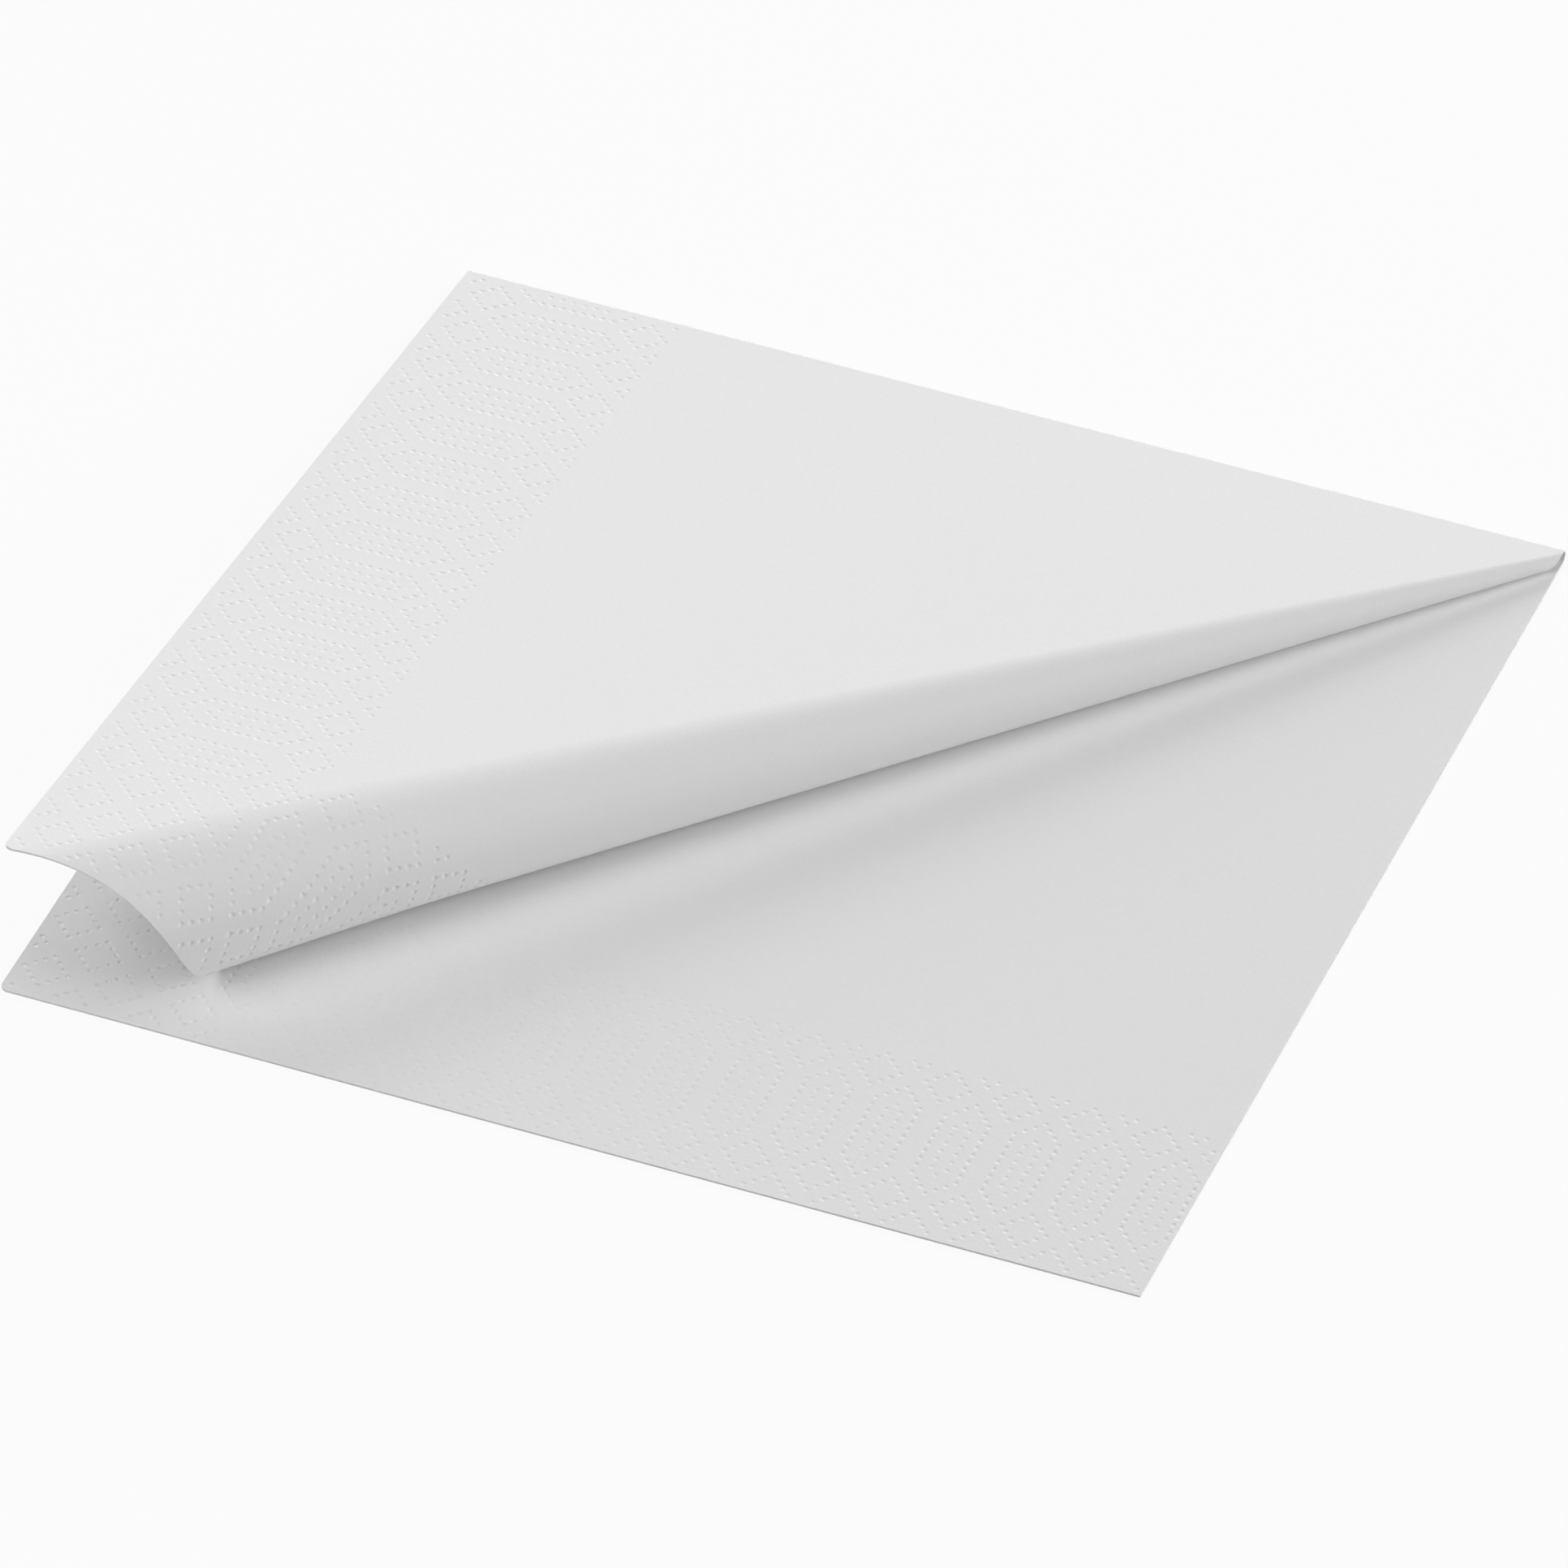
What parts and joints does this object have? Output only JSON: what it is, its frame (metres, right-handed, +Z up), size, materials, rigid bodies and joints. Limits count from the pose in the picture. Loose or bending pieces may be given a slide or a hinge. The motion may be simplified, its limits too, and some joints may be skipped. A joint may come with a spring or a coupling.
{
  "type": "paper napkin",
  "caption": "White paper napkin folded to a quarter, with an embossed dot border and its upper leaf half rolled under on a diagonal.",
  "frame": {"origin": "centre of the folded square, on the surface that the napkin lies on", "axes": "+Z up out of the table, +Y towards the back fold, +X towards the side fold, so that the open edges face -X and -Y"},
  "size_m": [0.165, 0.165, 0.025],
  "materials": {
    "tissue": "matte"
  },
  "bodies": {
    "root": {"napkin": "tissue"}
  },
  "joints": []
}
